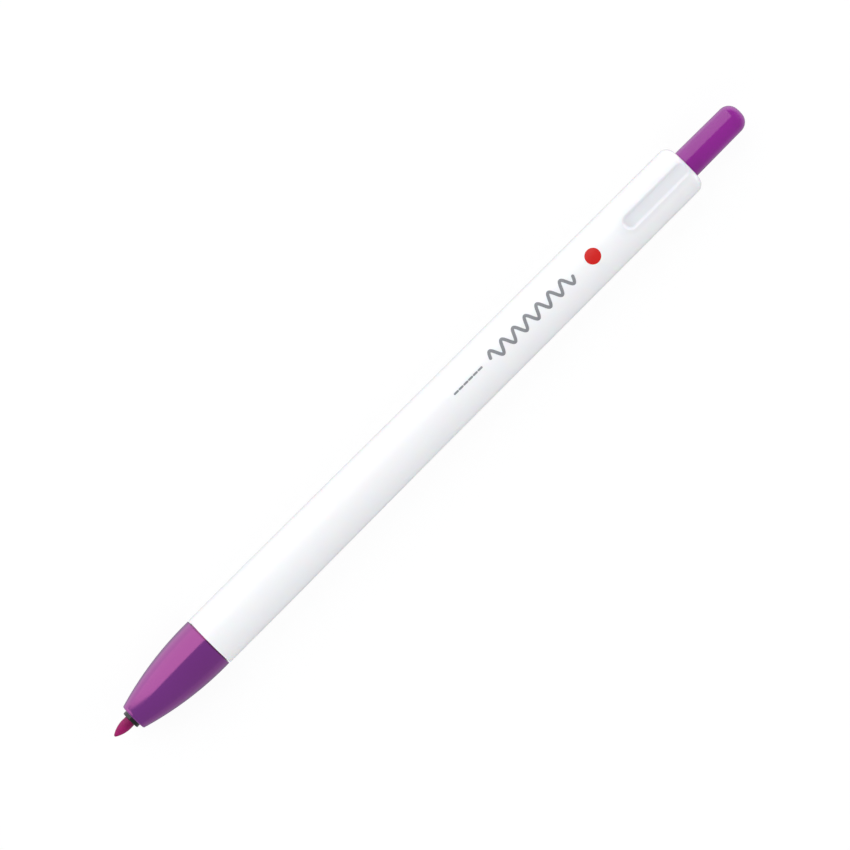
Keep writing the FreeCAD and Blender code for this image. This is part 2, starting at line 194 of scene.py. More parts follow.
# Noise scales are in cycles per metre, and scatter and bump distances are in metres.
SCATTER_SCALE = 0.0006
# The grey of the painted shade in and round the barrel's recess.
RECESS_SHADE_COLOUR = (0.772, 0.780, 0.808)
COOL_WHITE = (0.97, 0.98, 1.0)


def new_material(name):
    """A node material, its tree and its plain Principled shader."""
    material = bpy.data.materials.new(name)
    material.use_nodes = True
    return material, material.node_tree, material.node_tree.nodes["Principled BSDF"]


def add_node(tree, kind, **values):
    """A node with its plain properties and input sockets set."""
    node = tree.nodes.new(kind)
    for key, value in values.items():
        if key in node.inputs:
            node.inputs[key].default_value = value
        else:
            setattr(node, key, value)
    return node


def object_coordinates(tree, stretch=(1, 1, 1)):
    """The piece's own coordinates, stretched along each axis."""
    where = add_node(tree, "ShaderNodeTexCoord")
    mapping = add_node(tree, "ShaderNodeMapping")
    mapping.inputs["Scale"].default_value = stretch
    tree.links.new(where.outputs["Object"], mapping.inputs["Vector"])
    return mapping.outputs["Vector"]


def noise(tree, vector, scale, detail=3.0, roughness=0.5):
    """A noise texture's value over the given coordinates."""
    node = add_node(tree, "ShaderNodeTexNoise", Scale=scale, Detail=detail, Roughness=roughness)
    tree.links.new(vector, node.inputs["Vector"])
    return node.outputs["Fac"]


def map_range(tree, value, low, high, at_low, at_high):
    """A value's range mapped to another one."""
    node = add_node(tree, "ShaderNodeMapRange")
    node.inputs["From Min"].default_value = low
    node.inputs["From Max"].default_value = high
    node.inputs["To Min"].default_value = at_low
    node.inputs["To Max"].default_value = at_high
    tree.links.new(value, node.inputs["Value"])
    return node.outputs["Result"]


def spread(tree, value, low, high):
    """The middle of a noise value's range, mapped to low and high."""
    return map_range(tree, value, 0.3, 0.7, low, high)


def two_colours(tree, value, low, high):
    """A colour between two, by a noise value."""
    ramp = add_node(tree, "ShaderNodeValToRGB")
    ramp.color_ramp.elements[0].position = 0.35
    ramp.color_ramp.elements[0].color = (*low, 1)
    ramp.color_ramp.elements[1].position = 0.65
    ramp.color_ramp.elements[1].color = (*high, 1)
    tree.links.new(value, ramp.inputs["Fac"])
    return ramp.outputs["Color"]


def bump(tree, height, strength, distance, before=None):
    """A normal bumped by a height value, over an earlier bump if one is given."""
    node = add_node(tree, "ShaderNodeBump", Strength=strength, Distance=distance)
    tree.links.new(height, node.inputs["Height"])
    if before:
        tree.links.new(before, node.inputs["Normal"])
    return node.outputs["Normal"]


def darker_where(tree, colour, attribute, dark):
    """A colour that turns to a darker one as a mesh's attribute goes from 0 to 1."""
    amount = add_node(tree, "ShaderNodeAttribute", attribute_name=attribute)
    mix = add_node(tree, "ShaderNodeMix", data_type="RGBA")
    a, b = [socket for socket in mix.inputs if socket.name in ("A", "B") and socket.type == "RGBA"]
    tree.links.new(amount.outputs["Fac"], mix.inputs["Factor"])
    tree.links.new(colour, a)
    b.default_value = (*dark, 1)
    return [socket for socket in mix.outputs if socket.type == "RGBA"][0]


def moulded_plastic(name, colour, shade, rough, grain, scatter=0.0, ior=1.5, tint=(1, 1, 1)):
    """Injection-moulded plastic: faint colour drift, handling haze, fine grain and slow flow waves."""
    material, tree, shader = new_material(name)
    where = object_coordinates(tree)
    drift = noise(tree, where, scale=60, detail=2)
    haze = noise(tree, where, scale=420, detail=5, roughness=0.6)
    fine = noise(tree, where, scale=5200)
    waves = noise(tree, object_coordinates(tree, (0.25, 1, 1)), scale=260, detail=2)
    tree.links.new(two_colours(tree, drift, shade, colour), shader.inputs["Base Color"])
    tree.links.new(spread(tree, haze, *rough), shader.inputs["Roughness"])
    flow = bump(tree, waves, strength=0.5 * grain, distance=0.00006)
    grained = bump(tree, fine, strength=grain, distance=0.000006, before=flow)
    tree.links.new(grained, shader.inputs["Normal"])
    shader.inputs["IOR"].default_value = ior
    shader.inputs["Specular Tint"].default_value = (*tint, 1)
    shader.inputs["Subsurface Weight"].default_value = scatter
    shader.inputs["Subsurface Scale"].default_value = SCATTER_SCALE
    return material


def barrel_plastic():
    """The barrel's white plastic, with painted shade that greys it in and round the recess."""
    material = moulded_plastic(
        "white_plastic",
        colour=(0.895, 0.895, 0.905),
        shade=(0.890, 0.890, 0.900),
        rough=(0.23, 0.27),
        grain=0.08,
        scatter=0.2,
    )
    tree = material.node_tree
    base = tree.nodes["Principled BSDF"].inputs["Base Color"]
    white = base.links[0].from_socket
    # Painted shade: the white turns grey in and round the recess, by the attribute that the barrel's mesh
    # carries.
    tree.links.new(darker_where(tree, white, "painted_recess_shade", RECESS_SHADE_COLOUR), base)
    return material


def fibre(name, dark, light, rough):
    """Bonded fibre soaked in ink: streaks along the pen, with a matt broken surface."""
    material, tree, shader = new_material(name)
    along = object_coordinates(tree, (0.12, 1, 1))
    streaks = noise(tree, along, scale=9000, detail=4, roughness=0.7)
    patches = noise(tree, object_coordinates(tree), scale=900)
    streak_share = 0.6
    mixed = add_node(tree, "ShaderNodeMath", operation="MULTIPLY_ADD")
    mixed.inputs[1].default_value = streak_share
    tree.links.new(streaks, mixed.inputs[0])
    patched = add_node(tree, "ShaderNodeMath", operation="MULTIPLY")
    patched.inputs[1].default_value = 1.0 - streak_share
    tree.links.new(patches, patched.inputs[0])
    tree.links.new(patched.outputs[0], mixed.inputs[2])
    tree.links.new(two_colours(tree, mixed.outputs[0], dark, light), shader.inputs["Base Color"])
    tree.links.new(spread(tree, streaks, *rough), shader.inputs["Roughness"])
    pits = noise(tree, object_coordinates(tree), scale=14000, roughness=0.7)
    ridges = bump(tree, streaks, strength=0.8, distance=0.00003)
    broken = bump(tree, pits, strength=0.5, distance=0.00002, before=ridges)
    tree.links.new(broken, shader.inputs["Normal"])
    shader.inputs["Specular IOR Level"].default_value = 0.28
    shader.inputs["Sheen Weight"].default_value = 0.02
    shader.inputs["Sheen Roughness"].default_value = 0.5
    return material


def clear_plastic(name, tint, rough):
    """A clear extruded tube or film with faint draw lines along it."""
    material, tree, shader = new_material(name)
    lines = noise(tree, object_coordinates(tree, (0.02, 1, 1)), scale=3000)
    shade = [0.94 * part for part in tint]
    tree.links.new(two_colours(tree, lines, shade, tint), shader.inputs["Base Color"])
    tree.links.new(spread(tree, lines, *rough), shader.inputs["Roughness"])
    drawn = bump(tree, lines, strength=0.2, distance=0.00001)
    tree.links.new(drawn, shader.inputs["Normal"])
    shader.inputs["Transmission Weight"].default_value = 0.85
    shader.inputs["IOR"].default_value = 1.49
    return material


def drawn_steel(name):
    """Bright drawn spring wire."""
    material, tree, shader = new_material(name)
    lines = noise(tree, object_coordinates(tree), scale=7000, detail=4)
    dark, bright = (0.42, 0.42, 0.44), (0.62, 0.62, 0.64)
    tree.links.new(two_colours(tree, lines, dark, bright), shader.inputs["Base Color"])
    tree.links.new(spread(tree, lines, 0.18, 0.36), shader.inputs["Roughness"])
    drawn = bump(tree, lines, strength=0.25, distance=0.000008)
    tree.links.new(drawn, shader.inputs["Normal"])
    shader.inputs["Metallic"].default_value = 1.0
    return material


def printed_ink(name, colour, shade, rough):
    """Pad-printed ink: a slightly uneven film with a soft tooth."""
    material, tree, shader = new_material(name)
    film = noise(tree, object_coordinates(tree), scale=2600, detail=4, roughness=0.6)
    tree.links.new(two_colours(tree, film, shade, colour), shader.inputs["Base Color"])
    tree.links.new(spread(tree, film, *rough), shader.inputs["Roughness"])
    tooth = bump(tree, film, strength=0.3, distance=0.000006)
    tree.links.new(tooth, shader.inputs["Normal"])
    shader.inputs["Specular IOR Level"].default_value = 0.3
    return material


WHITE = barrel_plastic()
CONE_PURPLE = moulded_plastic(
    "cone_purple",
    colour=(0.100, 0.018, 0.182),
    shade=(0.094, 0.016, 0.170),
    rough=(0.12, 0.17),
    grain=0.2,
    ior=2.42,
    tint=(1.0, 0.26, 0.59),
)
BUTTON_PURPLE = moulded_plastic(
    "button_purple",
    colour=(0.257, 0.009, 0.272),
    shade=(0.243, 0.008, 0.256),
    rough=(0.12, 0.19),
    grain=0.2,
    ior=1.63,
    tint=(1.0, 0.68, 0.80),
)
BLACK = moulded_plastic(
    "black_plastic",
    colour=(0.004, 0.004, 0.005),
    shade=(0.003, 0.003, 0.004),
    rough=(0.14, 0.22),
    grain=0.2,
)
NATURAL = moulded_plastic(
    "natural_plastic",
    colour=(0.82, 0.81, 0.76),
    shade=(0.79, 0.78, 0.72),
    rough=(0.35, 0.48),
    grain=0.4,
    scatter=0.2,
)
NIB_FIBRE = fibre("nib_fibre", (0.20, 0.003, 0.070), (0.37, 0.006, 0.138), (0.45, 0.7))
CORE_FIBRE = fibre("core_fibre", (0.22, 0.012, 0.10), (0.36, 0.03, 0.17), (0.65, 0.9))
CLEAR = clear_plastic("clear_plastic", (0.90, 0.92, 0.94), (0.05, 0.12))
FILM = clear_plastic("clear_film", (0.92, 0.88, 0.91), (0.12, 0.22))
STEEL = drawn_steel("spring_steel")
RED_INK = printed_ink("red_ink", (0.615, 0.012, 0.009), (0.585, 0.010, 0.008), (0.35, 0.5))
GREY_INK = printed_ink("grey_ink", (0.27, 0.275, 0.29), (0.235, 0.24, 0.255), (0.4, 0.55))

# ---------------------------------------------------------------- mesh helpers

SHARP_EDGE = math.radians(38.0)


def place(at_station, radius, angle):
    """A point in the frame. Angle 0 is the top, and it grows towards +Y."""
    x = NIB_POINT + at_station * MM
    return Vector((x, radius * MM * math.sin(angle), AXIS_HEIGHT + radius * MM * math.cos(angle)))


def add_piece(name, verts, faces, material, body, stands_for=()):
    """A smooth-shaded mesh piece. It rides on a body, if one is given."""
    mesh = bpy.data.meshes.new(name)
    mesh.from_pydata([tuple(v) for v in verts], [], faces)
    shaped = bmesh.new()
    shaped.from_mesh(mesh)
    bmesh.ops.recalc_face_normals(shaped, faces=shaped.faces)
    shaped.to_mesh(mesh)
    shaped.free()
    mesh.shade_smooth()
    mesh.set_sharp_from_angle(angle=SHARP_EDGE)
    mesh.materials.append(material)
    piece = bpy.data.objects.new(name, mesh)
    bpy.context.scene.collection.objects.link(piece)
    if body:
        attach(piece, body)
    if stands_for:
        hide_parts(*stands_for)
    return piece


def arc(start, end, radius, steps):
    """Points after start, up to and with end, along an arc that swells to the left of its chord."""
    (x0, r0), (x1, r1) = start, end
    chord = math.hypot(x1 - x0, r1 - r0)
    rise = math.sqrt(max(radius**2 - chord**2 / 4, 0))
    centre_x = (x0 + x1) / 2 + rise * (r1 - r0) / chord
    centre_r = (r0 + r1) / 2 - rise * (x1 - x0) / chord
    first = math.atan2(r0 - centre_r, x0 - centre_x)
    turn = math.atan2(r1 - centre_r, x1 - centre_x) - first
    turn = (turn + math.pi) % TAU - math.pi
    angles = [first + turn * step / steps for step in range(1, steps + 1)]
    return [(centre_x + radius * math.cos(a), centre_r + radius * math.sin(a)) for a in angles]


def run(start, end, steps):
    """Points after start, up to and with end, along a straight stretch."""
    (x0, r0), (x1, r1) = start, end
    shares = [step / steps for step in range(1, steps + 1)]
    return [(x0 + (x1 - x0) * share, r0 + (r1 - r0) * share) for share in shares]


def turned(outline, angles, shape=place):
    """Vertices and faces of a closed outline turned about the pen's axis."""
    verts, rings = [], []
    for at_station, radius in outline:
        if radius < 1e-6:
            rings.append([len(verts)] * len(angles))
            verts.append(place(at_station, 0, 0))
        else:
            rings.append(list(range(len(verts), len(verts) + len(angles))))
            verts.extend(shape(at_station, radius, angle) for angle in angles)
    faces = []
    for number in range(len(rings)):
        here, there = rings[number], rings[(number + 1) % len(rings)]
        for column in range(len(angles)):
            after = (column + 1) % len(angles)
            corners = (here[column], here[after], there[after], there[column])
            face = list(dict.fromkeys(corners))
            if len(face) > 2:
                faces.append(face)
    return verts, faces


def even_angles(count):
    """Angles spaced evenly round the pen."""
    return [TAU * number / count for number in range(count)]


# ---------------------------------------------------------------- casing


def barrel_radius(at_station):
    """The barrel's outer radius before the rear shoulder."""
    grip_end = JOINT + GRIP_BAND
    rear = REAR_FACE - REAR_ROUND
    if at_station <= grip_end:
        return BARREL_RADIUS
    if at_station <= BARREL_MID:
        share = (at_station - grip_end) / (BARREL_MID - grip_end)
        return BARREL_RADIUS + share * (BARREL_MID_RADIUS - BARREL_RADIUS)
    share = min((at_station - BARREL_MID) / (rear - BARREL_MID), 1)
    return BARREL_MID_RADIUS + share * (BARREL_REAR_RADIUS - BARREL_MID_RADIUS)


def smooth(value):
    """A share from 0 to 1 that starts and ends gently."""
    value = min(max(value, 0), 1)
    return value * value * (3 - 2 * value)


def recessed(at_station, radius, angle):
    """A point on the barrel, let down into the recess where it lies over it, and how much painted shade
    its colour gets there.
    """
    across = radius * math.sin(angle)
    height = radius * math.cos(angle)
    centre = RECESS_START + RECESS_HALF_WIDTH
    if height <= 0 or at_station < RECESS_START - RECESS_HALF_WIDTH:
        return place(at_station, radius, angle), 0.0
    if at_station > centre:
        outside = abs(across) - RECESS_HALF_WIDTH
    else:
        outside = math.hypot(across, at_station - centre) - RECESS_HALF_WIDTH
    share = smooth((outside + RECESS_WALL_RUN) / (2 * RECESS_WALL_RUN))
    # Painted shade: full over the recess, by the edge share at most just outside it, and none further off.
    near = 1.0 - smooth((outside + RECESS_WALL_RUN) / (RECESS_SHADE_REACH - RECESS_HALF_WIDTH))
    painted_shade = 1.0 - share + share * RECESS_SHADE_EDGE * near
    floor = RECESS_FLOOR + RECESS_BOWL * (across / RECESS_HALF_WIDTH) ** 2
    if height > floor:
        height = floor + share * (height - floor)
    return Vector((NIB_POINT + at_station * MM, across * MM, AXIS_HEIGHT + height * MM)), painted_shade


def barrel_angles():
    """Columns close together over the recess and its edges, and wider apart round the rest."""
    fine = [-FINE_REACH + 2 * FINE_REACH * n / FINE_COLUMNS for n in range(FINE_COLUMNS + 1)]
    others = TAU - 2 * FINE_REACH
    return fine + [FINE_REACH + others * n / OTHER_COLUMNS for n in range(1, OTHER_COLUMNS)]


def barrel_rows(start, end, count):
    """Points after start, up to and with end, along the barrel's outside."""
    stations = [start + (end - start) * n / count for n in range(1, count + 1)]
    return [(at_station, barrel_radius(at_station)) for at_station in stations]


def barrel_outline():
    """The barrel's closed outline: outside, rear shoulder, button hole, bore and front face."""
    points = [(JOINT, SPIGOT_RADIUS + SPIGOT_GAP), (JOINT, BARREL_RADIUS - JOINT_BEVEL)]
    at = JOINT + JOINT_BEVEL
    points += arc(points[-1], (at, BARREL_RADIUS), JOINT_BEVEL, steps=4)
    recess_rows_start = RECESS_START - RECESS_WALL_RUN - RECESS_ROWS_LEAD
    recess_rows_end = recess_rows_start + RECESS_ROW * RECESS_ROWS
    for stop in (JOINT + GRIP_BAND, BARREL_MID, RECESS_START - RECESS_LEAD, recess_rows_start):
        points += barrel_rows(at, stop, max(2, round((stop - at) / BARREL_ROW)))
        at = stop
    points += barrel_rows(recess_rows_start, recess_rows_end, RECESS_ROWS)
    points += barrel_rows(recess_rows_end, REAR_FACE - REAR_ROUND, REAR_ROWS)
    shoulder_end = (REAR_FACE, BARREL_REAR_RADIUS - REAR_ROUND)
    points += arc(points[-1], shoulder_end, REAR_ROUND, steps=30)
    points += [(REAR_FACE, BUTTON_HOLE_RADIUS + HOLE_EDGE)]
    points += arc(points[-1], (REAR_FACE - HOLE_EDGE, BUTTON_HOLE_RADIUS), HOLE_EDGE, steps=4)
    points += run(points[-1], (REAR_FACE - END_WALL, BUTTON_HOLE_RADIUS), steps=2)
    points += [(REAR_FACE - END_WALL, BORE_REAR_RADIUS), (BORE_STEP, BORE_STEP_RADIUS)]
    points += [(BORE_STEP, BORE_RADIUS)]
    points += run(points[-1], (CONE_REAR + SPIGOT_ROOM, BORE_FRONT_RADIUS), steps=4)
    points += [(CONE_REAR + SPIGOT_ROOM, SPIGOT_RADIUS + SPIGOT_GAP)]
    return points


def make_barrel():
    """The barrel, with the painted shade of its recess kept at each vertex for its colour."""
    painted_shade_values = []

    def shape(at_station, radius, angle):
        point, painted_shade = recessed(at_station, radius, angle)
        painted_shade_values.append(painted_shade)
        return point

    verts, faces = turned(barrel_outline(), barrel_angles(), shape)
    shell = add_piece("barrel_shell", verts, faces, WHITE, "barrel", ["barrel"])
    # The painted shade amounts, kept on the mesh for the white's colour.
    attribute = shell.data.attributes.new("painted_recess_shade", "FLOAT", "POINT")
    attribute.data.foreach_set("value", painted_shade_values)


def make_cone():
    """The nose cone, with its lip, its long outer curve, the shadow gap behind it, its spigot and bore."""
    lip = CONE_LIP_RADIUS - CONE_LIP_ROUND
    points = [(CONE_FRONT + MOUTH_ROUND, MOUTH_RADIUS)]
    points += arc(points[-1], (CONE_FRONT, MOUTH_RADIUS + MOUTH_ROUND), MOUTH_ROUND, steps=4)
    points += [(CONE_FRONT, lip)]
    lip_end = (CONE_FRONT + CONE_LIP_ROUND, CONE_LIP_RADIUS)
    points += arc(points[-1], lip_end, CONE_LIP_ROUND, steps=10)
    edge = JOINT - JOINT_GAP
    gap_floor = CONE_REAR_RADIUS - JOINT_GAP_DEPTH
    points += arc(points[-1], (edge - CONE_BEVEL, CONE_REAR_RADIUS), CONE_CURVE_RADIUS, steps=64)
    points += arc(points[-1], (edge, CONE_REAR_RADIUS - CONE_BEVEL), CONE_BEVEL, steps=4)
    points += [(edge, gap_floor), (JOINT, gap_floor)]
    points += [(JOINT, SPIGOT_RADIUS), (CONE_REAR, SPIGOT_RADIUS), (CONE_REAR, SPIGOT_BORE)]
    points += [(COLLAR_STEP, SPIGOT_BORE), (COLLAR_STEP, SPRING_ROOM_RADIUS)]
    seat = CONE_FRONT + SPRING_SEAT
    points += [(seat, SPRING_ROOM_RADIUS), (seat, MOUTH_RADIUS)]
    verts, faces = turned(points, even_angles(224))
    add_piece("nose_cone", verts, faces, CONE_PURPLE, "barrel", ["front_cone"])


# ---------------------------------------------------------------- nib, holder, button and spring


def make_nib():
    """The bullet nib: a small round point, full curved flanks and a straight rod behind them."""
    points = [(0.0, 0.0)]
    points += arc(points[-1], (NIB_POINT_DEPTH, NIB_POINT_RADIUS), NIB_POINT_ROUND, steps=8)
    points += arc(points[-1], (NIB_TAPER, NIB_RADIUS), NIB_FLANK_RADIUS, steps=28)
    points += run(points[-1], (NIB_REAR, NIB_RADIUS), steps=30)
    points += [(NIB_REAR, 0.0)]
    verts, faces = turned(points, even_angles(96))
    add_piece("fibre_nib", verts, faces, NIB_FIBRE, "refill", ["nib"])


def make_holder():
    """The black nose round the nib, its collar and the plug that the tube is pushed on."""
    inner = NIB_RADIUS + HOLDER_FIT
    mouth = (HOLDER_FRONT, inner + HOLDER_MOUTH_ROUND)
    points = [(HOLDER_FRONT + HOLDER_MOUTH_ROUND, inner)]
    points += arc(points[-1], mouth, HOLDER_MOUTH_ROUND, steps=3)
    points += [(HOLDER_FRONT, HOLDER_RADIUS - HOLDER_BEVEL)]
    points += arc(points[-1], (HOLDER_FRONT + HOLDER_BEVEL, HOLDER_RADIUS), HOLDER_BEVEL, steps=6)
    points += run(points[-1], (COLLAR_FRONT, HOLDER_RADIUS), steps=8)
    points += [(COLLAR_FRONT, COLLAR_RADIUS), (COLLAR_REAR, COLLAR_RADIUS)]
    points += [(COLLAR_REAR, PLUG_RADIUS), (HOLDER_REAR, PLUG_RADIUS), (HOLDER_REAR, inner)]
    verts, faces = turned(points, even_angles(128))
    add_piece("nib_nose", verts, faces, BLACK, "refill", ["nib_holder"])


def make_button():
    """The click button, with its round end and the hollow that the push cam's stem fills."""
    points = [(BUTTON_FRONT, STEM_RADIUS), (BUTTON_FRONT, BUTTON_RADIUS)]
    points += run(points[-1], (LENGTH - BUTTON_ROUND, BUTTON_TIP_RADIUS), steps=16)
    points += arc(points[-1], (LENGTH, BUTTON_TIP_RADIUS - BUTTON_ROUND), BUTTON_ROUND, steps=28)
    points += [(LENGTH, 0.0), (BUTTON_BORE, 0.0), (BUTTON_BORE, STEM_RADIUS)]
    verts, faces = turned(points, even_angles(176))
    add_piece("click_button", verts, faces, BUTTON_PURPLE, "knock", ["knock_button"])


def coil_station(turns):
    """The station of the coil's wire after some turns: close at both ends and open between them."""
    low, high = SPRING_FRONT + WIRE_RADIUS, SPRING_REAR - WIRE_RADIUS
    closed_pitch = 2 * WIRE_RADIUS * CLOSED_PITCH
    if turns < CLOSED_TURNS:
        return low + turns * closed_pitch
    if turns > COIL_TURNS - CLOSED_TURNS:
        return high - (COIL_TURNS - turns) * closed_pitch
    open_length = high - low - 2 * CLOSED_TURNS * closed_pitch
    share = (turns - CLOSED_TURNS) / (COIL_TURNS - 2 * CLOSED_TURNS)
    return low + CLOSED_TURNS * closed_pitch + open_length * share


def make_spring():
    """The return spring: a wire coil with closed end turns, stretched between cone and collar."""
    steps_per_turn, corners = 40, 12
    count = round(COIL_TURNS * steps_per_turn)
    turns = [step / steps_per_turn for step in range(count + 1)]
    centres = [place(coil_station(turn), COIL_RADIUS, TAU * turn) for turn in turns]
    verts, faces = [], []
    for number, centre in enumerate(centres):
        ahead = centres[min(number + 1, count)] - centres[max(number - 1, 0)]
        outward = Vector((0, centre.y, centre.z - AXIS_HEIGHT)).normalized()
        sideways = ahead.cross(outward).normalized()
        outward = sideways.cross(ahead).normalized()
        for angle in even_angles(corners):
            offset = outward * math.cos(angle) + sideways * math.sin(angle)
            verts.append(centre + offset * WIRE_RADIUS * MM)
    for number in range(count):
        here, there = number * corners, (number + 1) * corners
        for corner in range(corners):
            after = (corner + 1) % corners
            faces.append([here + corner, here + after, there + after, there + corner])
    faces.append(list(range(corners)))
    faces.append([count * corners + corner for corner in range(corners)])
    spring = add_piece("coil_spring", verts, faces, STEEL, None, ["return_spring"])
    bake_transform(spring)


# ---------------------------------------------------------------- print


def join_meshes(parts):
    """One list of vertices and faces out of several."""
    verts, faces = [], []
    for part_verts, part_faces in parts:
        start = len(verts)
        verts.extend(part_verts)
        faces.extend([[start + index for index in face] for face in part_faces])
    return verts, faces


def print_layers(places):
    """Vertices over the barrel for places given as (station, way round): the ink's top, then its back."""
    verts = []
    for height in (PRINT_HEIGHT, PRINT_HEIGHT - PRINT_DEPTH):
        for at_station, around in places:
            surface = barrel_radius(at_station)
            verts.append(place(at_station, surface + height, around / surface))
    return verts


def disc_patch(centre, radius):
    """A round patch of ink in rings, so that it follows the barrel's curve."""
    columns, rings = 72, 8
    top, faces = [(centre, PRINT_SHIFT)], []
    for ring in range(1, rings + 1):
        reach = radius * ring / rings
        for angle in even_angles(columns):
            top.append((centre + reach * math.cos(angle), PRINT_SHIFT + reach * math.sin(angle)))
    for column in range(columns):
        after = (column + 1) % columns
        faces.append([0, 1 + column, 1 + after])
        for ring in range(rings - 1):
            here, there = 1 + ring * columns, 1 + (ring + 1) * columns
            faces.append([here + column, there + column, there + after, here + after])
    count = len(top)
    faces += [[index + count for index in reversed(face)] for face in list(faces)]
    rim = 1 + (rings - 1) * columns
    for column in range(columns):
        after = (column + 1) % columns
        faces.append([rim + column, rim + after, count + rim + after, count + rim + column])
    return print_layers(top), faces


def ribbon_patch(path, width):
    """A stroke of ink with round ends along a path, in cross strips that follow the barrel's curve."""
    half, caps = width / 2, 8
    points = [Vector(point) for point in path]
    first = (points[0] - points[1]).normalized()
    last = (points[-1] - points[-2]).normalized()
    beyond = [half * math.sin(math.pi / 2 * n / caps) for n in range(1, caps + 1)]
    centres = [points[0] + first * b for b in reversed(beyond)] + points
    centres += [points[-1] + last * b for b in beyond]
    reaches = [math.sqrt(max(half**2 - b**2, (half * 0.02) ** 2)) for b in beyond]
    reaches = reaches[::-1] + [half] * len(points) + reaches
    count = len(centres)
    top, faces = [], []
    for number, (centre, reach) in enumerate(zip(centres, reaches)):
        ahead = centres[min(number + 1, count - 1)] - centres[max(number - 1, 0)]
        side = Vector((-ahead.y, ahead.x)).normalized()
        top += [centre + side * reach * way for way in (-1, 1)]
    low = 2 * count
    for number in range(count - 1):
        a, b = 2 * number, 2 * number + 2
        faces.append([a, a + 1, b + 1, b])
        faces.append([low + a, low + b, low + b + 1, low + a + 1])
        faces.append([a, b, low + b, low + a])
        faces.append([a + 1, low + a + 1, low + b + 1, b + 1])
    end = low - 2
    faces.append([0, low, low + 1, 1])
    faces.append([end, end + 1, low + end + 1, low + end])
    return print_layers(top), faces


def make_print():
    """Plain marks in place of lettering: a round dot, a wavy line and a row of short stitches."""
    verts, faces = disc_patch(DOT_STATION, DOT_RADIUS)
    add_piece("print_dot", verts, faces, RED_INK, "barrel")
    steps_per_wave = 24
    steps = WAVE["waves"] * steps_per_wave
    path = []
    for step in range(steps + 1):
        share = step / steps
        across = WAVE["height"] / 2 * math.sin(TAU * WAVE["waves"] * share)
        path.append((WAVE["start"] + share * (WAVE["end"] - WAVE["start"]), PRINT_SHIFT + across))
    verts, faces = ribbon_patch(path, WAVE["stroke"])
    add_piece("print_wave", verts, faces, GREY_INK, "barrel")
    dashes = []
    gap = (DASHES["end"] - DASHES["start"] - DASHES["length"]) / (DASHES["count"] - 1)
    for number in range(DASHES["count"]):
        start = DASHES["start"] + gap * number
        dash = [(start, PRINT_SHIFT), (start + DASHES["length"], PRINT_SHIFT)]
        dashes.append(ribbon_patch(dash, DASHES["stroke"]))
    verts, faces = join_meshes(dashes)
    add_piece("print_dashes", verts, faces, GREY_INK, "barrel")


# ---------------------------------------------------------------- inner pieces, as the CAD has them


def paint_nodes():
    """Materials on the CAD pieces that are shown as they are."""
    finishes = {
        "reservoir_tube": CLEAR,
        "ink_core": CORE_FIBRE,
        "core_wrap": FILM,
        "tail_plug": BLACK,
        "cam_rotor": NATURAL,
        "push_cam": NATURAL,
        "cam_guide": NATURAL,
    }
    for node, material in finishes.items():
        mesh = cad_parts[node].data
        mesh.materials.clear()
        mesh.materials.append(material)


# ---------------------------------------------------------------- stage, light and camera

# The stage: how far it reaches, and each sheet's depth under the pen, in metres.
STAGE_REACH = 3.0
FLOOR_DEPTH, FLOOR_GREY, FLOOR_GLOW = 0.0002, (0.09, 0.09, 0.09), 0.915
BOUNCE_DEPTH, BOUNCE_GREY = 0.0004, (0.74, 0.74, 0.75)

# The lights, with their sizes in metres and their angles off the zenith.
LIGHT_DISTANCE = 1.6
SOFTBOX_ANGLE = math.radians(54.8)
SOFTBOX_SIZE = (2.0, 2.257)
SOFTBOX_RADIANCE = 1.63
FILL_ANGLE = math.radians(76)
FILL_TURN = math.radians(108)
FILL_SIZE = (1.2, 1.2)
FILL_RADIANCE = 3.9

# The surroundings: the sky's level, and the lower half's levels from side to side and from edge to pole.
SKY = 0.45
BELOW_DIM, BELOW_BRIGHT = 0.56, 1.8
BELOW_FADE, BELOW_STRAIGHT_DOWN = 0.6, 0.3
HORIZON_BLUR = 0.01

# The camera. VIEW_WIDTH is the width, in metres, that it takes in at the pen's axis.
CAMERA_SENSOR = 36.0
CAMERA_HEIGHT = 1.25
VIEW_WIDTH = 0.14167
CAMERA_LEAN = math.radians(2.2)
AIM = Vector((-0.00038, 0.00009, AXIS_HEIGHT))
AXIS_TURN = math.radians(45.0)


def stage_sheet(name, depth, colour, glow):
    """A large flat sheet under the pen. Nothing mirrors it."""
    corners = [(-1, -1), (1, -1), (1, 1), (-1, 1)]
    mesh = bpy.data.meshes.new(name)
    mesh.from_pydata([(x * STAGE_REACH, y * STAGE_REACH, -depth) for x, y in corners], [], [[0, 1, 2, 3]])
    material, tree, shader = new_material(name + "_white")
    grain = noise(tree, object_coordinates(tree), scale=300)
    darker = [0.99 * part for part in colour]
    tree.links.new(two_colours(tree, grain, darker, colour), shader.inputs["Base Color"])
    shader.inputs["Roughness"].default_value = 0.9
    shader.inputs["Specular IOR Level"].default_value = 0.0
    shader.inputs["Emission Color"].default_value = (1, 1, 1, 1)
    shader.inputs["Emission Strength"].default_value = glow
    mesh.materials.append(material)
    sheet = bpy.data.objects.new(name, mesh)
    bpy.context.scene.collection.objects.link(sheet)
    sheet.visible_glossy = False
    return sheet


def make_floor():
    """The pale floor that is seen, and a greyer one under it that only throws light back."""
    floor = stage_sheet("floor", FLOOR_DEPTH, FLOOR_GREY, FLOOR_GLOW)
    floor.visible_diffuse = False
    bounce = stage_sheet("floor_bounce", BOUNCE_DEPTH, BOUNCE_GREY, glow=0.0)
    bounce.visible_camera = False


